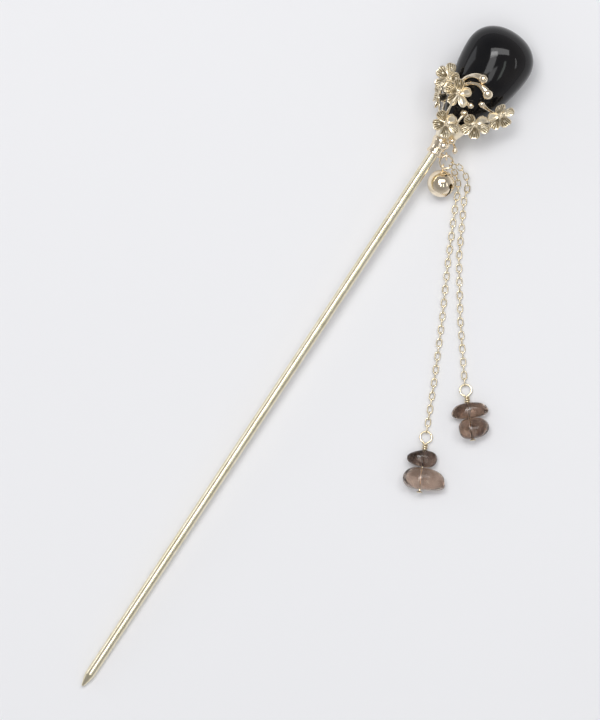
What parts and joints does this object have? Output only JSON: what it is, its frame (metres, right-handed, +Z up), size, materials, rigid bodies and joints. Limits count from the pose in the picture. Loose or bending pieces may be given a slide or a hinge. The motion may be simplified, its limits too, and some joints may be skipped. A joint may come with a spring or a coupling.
{
  "type": "ornamental hair pin",
  "caption": "Gilt hair stick with a black stone head set in a spray of blossoms, a bell, and chains ending in smoky stone chips.",
  "frame": {"origin": "middle of the pin's footprint, at the height of the table it lies on", "axes": "+X along the rod from its tip to the stone head, +Y away from the tassel, +Z up from the table"},
  "size_m": [0.176, 0.0541, 0.0154],
  "materials": {
    "plated_brass": "polished pale gold plate",
    "cast_gold": "cast, satin in the hollows and bright on the rims",
    "chain_gold": "polished pale gold plate",
    "black_stone": "high polish",
    "smoky_quartz": "tumbled and polished"
  },
  "bodies": {
    "pin": {"rod": "plated_brass", "collar": "plated_brass", "stone_cup": "plated_brass", "stone_post": "plated_brass", "stone": "black_stone", "vine_frame": "plated_brass", "blossom_top": "cast_gold", "blossom_crown_left": "cast_gold", "blossom_left_side": "cast_gold", "blossom_collar": "cast_gold", "blossom_center": "cast_gold", "blossom_right": "cast_gold", "blossom_under_left": "cast_gold", "blossom_under_right": "cast_gold", "blossom_under_middle": "cast_gold", "bud_long_upper": "cast_gold", "bud_long_lower": "cast_gold", "buds_small": "cast_gold", "collar_balls": "cast_gold", "tassel_eye": "plated_brass"},
    "jump_ring": {"jump_ring": "plated_brass"},
    "bell": {"bell_shell": "plated_brass", "bell_loop": "plated_brass"},
    "pea": {"bell_pea": "plated_brass"},
    "long_chain_top": {"long_chain_top": "chain_gold"},
    "long_chain_upper": {"long_chain_upper": "chain_gold"},
    "long_chain_middle": {"long_chain_middle": "chain_gold"},
    "long_chain_lower": {"long_chain_lower": "chain_gold"},
    "long_chain_end": {"long_chain_end": "chain_gold"},
    "short_chain_top": {"short_chain_top": "chain_gold"},
    "short_chain_upper": {"short_chain_upper": "chain_gold"},
    "short_chain_middle": {"short_chain_middle": "chain_gold"},
    "short_chain_end": {"short_chain_end": "chain_gold"},
    "long_charm": {"long_charm_wire": "chain_gold"},
    "short_charm": {"short_charm_wire": "chain_gold"},
    "long_chip_small": {"long_charm_chip_small": "smoky_quartz"},
    "long_chip_large": {"long_charm_chip_large": "smoky_quartz"},
    "short_chip_flat": {"short_charm_chip_flat": "smoky_quartz"},
    "short_chip_round": {"short_charm_chip_round": "smoky_quartz"}
  },
  "joints": [
    {"name": "ring_swings_in_eye", "type": "hinge", "parent": "pin", "child": "jump_ring", "pos_m": [0.05649, 0.01486, 0.00536], "axis": [-0.5505, 0.8348, 0], "range_deg": [-35, 60]},
    {"name": "bell_swings_on_ring", "type": "hinge", "parent": "jump_ring", "child": "bell", "pos_m": [0.05406, 0.01415, 0.00396], "axis": [-0.1152, 0.9614, 0.25], "range_deg": [-15, 30]},
    {"name": "pea_rolls_in_bell", "type": "hinge", "parent": "bell", "child": "pea", "pos_m": [0.05081, 0.01249, 0.0031], "axis": [-0.8664, -0.4435, -0.2296], "range_deg": [-80, 80]},
    {"name": "long_chain_swings_on_ring", "type": "hinge", "parent": "jump_ring", "child": "long_chain_top", "pos_m": [0.05511, 0.01279, 0.00404], "axis": [-0.8864, 0.3331, -0.3214], "range_deg": [-8, 10]},
    {"name": "long_chain_upper_turns", "type": "hinge", "parent": "long_chain_top", "child": "long_chain_upper", "pos_m": [0.04984, 0.00771, 0.00074], "axis": [0, 0, 1], "range_deg": [-15, 2.5]},
    {"name": "long_chain_middle_lifts", "type": "hinge", "parent": "long_chain_upper", "child": "long_chain_middle", "pos_m": [0.03761, 0.00178, 0.00074], "axis": [-0.4633, 0.8862, 0], "range_deg": [-45, 60]},
    {"name": "long_chain_lower_turns", "type": "hinge", "parent": "long_chain_middle", "child": "long_chain_lower", "pos_m": [0.02557, -0.00452, 0.00074], "axis": [0, 0, 1], "range_deg": [-25, 6]},
    {"name": "long_chain_end_lifts", "type": "hinge", "parent": "long_chain_lower", "child": "long_chain_end", "pos_m": [0.01338, -0.01052, 0.00074], "axis": [-0.4195, 0.9078, 0], "range_deg": [-45, 60]},
    {"name": "long_charm_swings", "type": "hinge", "parent": "long_chain_end", "child": "long_charm", "pos_m": [0.00246, -0.01557, 0.00074], "axis": [-0.4446, 0.8957, 0], "range_deg": [-30, 60]},
    {"name": "long_charm_small_chip_turns", "type": "hinge", "parent": "long_charm", "child": "long_chip_small", "pos_m": [0.00246, -0.01557, 0.00074], "axis": [-0.8834, -0.4385, 0.165], "continuous": true},
    {"name": "long_charm_large_chip_turns", "type": "hinge", "parent": "long_charm", "child": "long_chip_large", "pos_m": [0.00246, -0.01557, 0.00074], "axis": [-0.8834, -0.4385, 0.165], "continuous": true},
    {"name": "short_chain_swings_on_ring", "type": "hinge", "parent": "jump_ring", "child": "short_chain_top", "pos_m": [0.05603, 0.01278, 0.00448], "axis": [-0.8076, -0.3245, -0.4924], "range_deg": [-8, 12]},
    {"name": "short_chain_upper_lifts", "type": "hinge", "parent": "short_chain_top", "child": "short_chain_upper", "pos_m": [0.05114, 0.00639, 0.00073], "axis": [-0.4756, 0.8796, 0], "range_deg": [-20, 45]},
    {"name": "short_chain_middle_turns", "type": "hinge", "parent": "short_chain_upper", "child": "short_chain_middle", "pos_m": [0.03917, -0.00005, 0.00073], "axis": [0, 0, 1], "range_deg": [-4, 35]},
    {"name": "short_chain_end_lifts", "type": "hinge", "parent": "short_chain_middle", "child": "short_chain_end", "pos_m": [0.02798, -0.00777, 0.00073], "axis": [-0.6074, 0.7944, 0], "range_deg": [-45, 60]},
    {"name": "short_charm_swings", "type": "hinge", "parent": "short_chain_end", "child": "short_charm", "pos_m": [0.01603, -0.01691, 0.00073], "axis": [-0.6613, 0.7501, 0], "range_deg": [-30, 60]},
    {"name": "short_charm_flat_chip_turns", "type": "hinge", "parent": "short_charm", "child": "short_chip_flat", "pos_m": [0.01603, -0.01691, 0.00073], "axis": [-0.7363, -0.6492, 0.1908], "continuous": true},
    {"name": "short_charm_round_chip_turns", "type": "hinge", "parent": "short_charm", "child": "short_chip_round", "pos_m": [0.01603, -0.01691, 0.00073], "axis": [-0.7363, -0.6492, 0.1908], "continuous": true}
  ]
}
